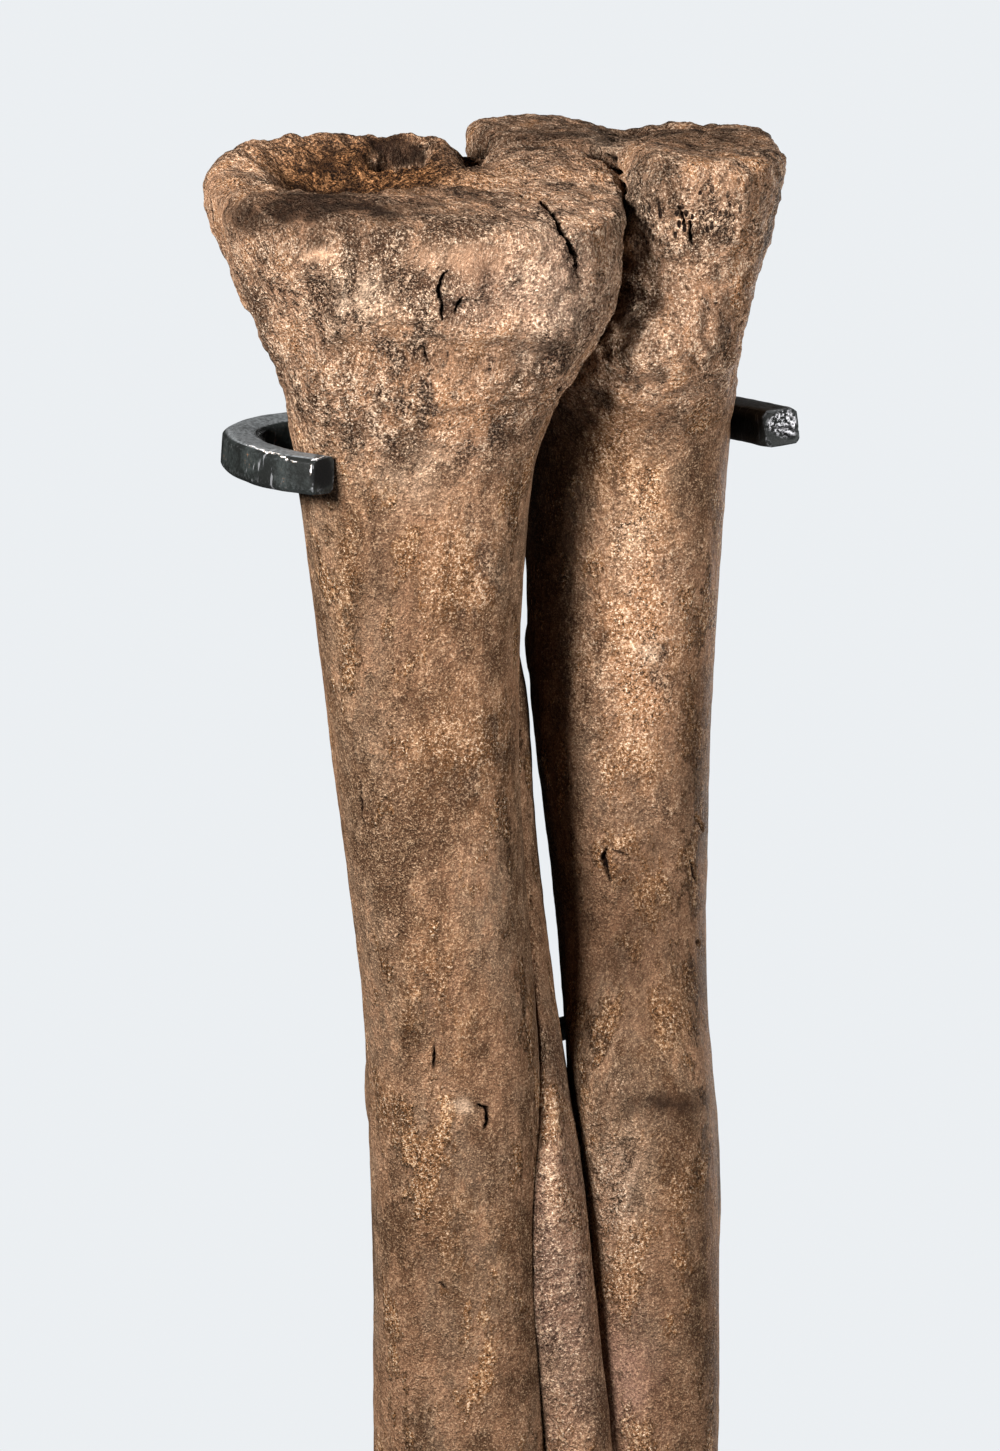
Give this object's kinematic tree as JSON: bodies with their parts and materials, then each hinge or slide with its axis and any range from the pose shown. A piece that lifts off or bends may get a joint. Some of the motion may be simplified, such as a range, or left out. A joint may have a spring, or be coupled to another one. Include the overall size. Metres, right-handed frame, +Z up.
{
  "type": "fossil ornithomimus foot on a steel stand",
  "caption": "Fossil foot of a running dinosaur: long foot bones and toes held upright on a black steel museum stand.",
  "frame": {"origin": "centre of the base plate's underside", "axes": "+Z up along the long foot bones, the toes point to -Y, the inner toe (second digit) lies at -X"},
  "size_m": [0.236, 0.344, 0.4262],
  "materials": {
    "fossil_bone": "permineralised brown bone, matt with faint gloss on the worn rims",
    "fossil_claw": "dark brown claw, slightly polished",
    "black_steel": "black oxide on forged bar, worn to bare metal at edges"
  },
  "bodies": {
    "root": {"metatarsal_ii": "fossil_bone", "metatarsal_iii": "fossil_bone", "metatarsal_iv": "fossil_bone", "phalanx_ii_1": "fossil_bone", "phalanx_ii_2": "fossil_bone", "claw_ii": "fossil_claw", "phalanx_iii_1": "fossil_bone", "phalanx_iii_2": "fossil_bone", "phalanx_iii_3": "fossil_bone", "claw_iii": "fossil_claw", "phalanx_iv_1": "fossil_bone", "phalanx_iv_2": "fossil_bone", "phalanx_iv_3": "fossil_bone", "phalanx_iv_4": "fossil_bone", "claw_iv": "fossil_claw", "base_plate": "black_steel", "post": "black_steel", "upper_yoke": "black_steel", "middle_rest": "black_steel", "lower_cradle": "black_steel"}
  },
  "joints": []
}
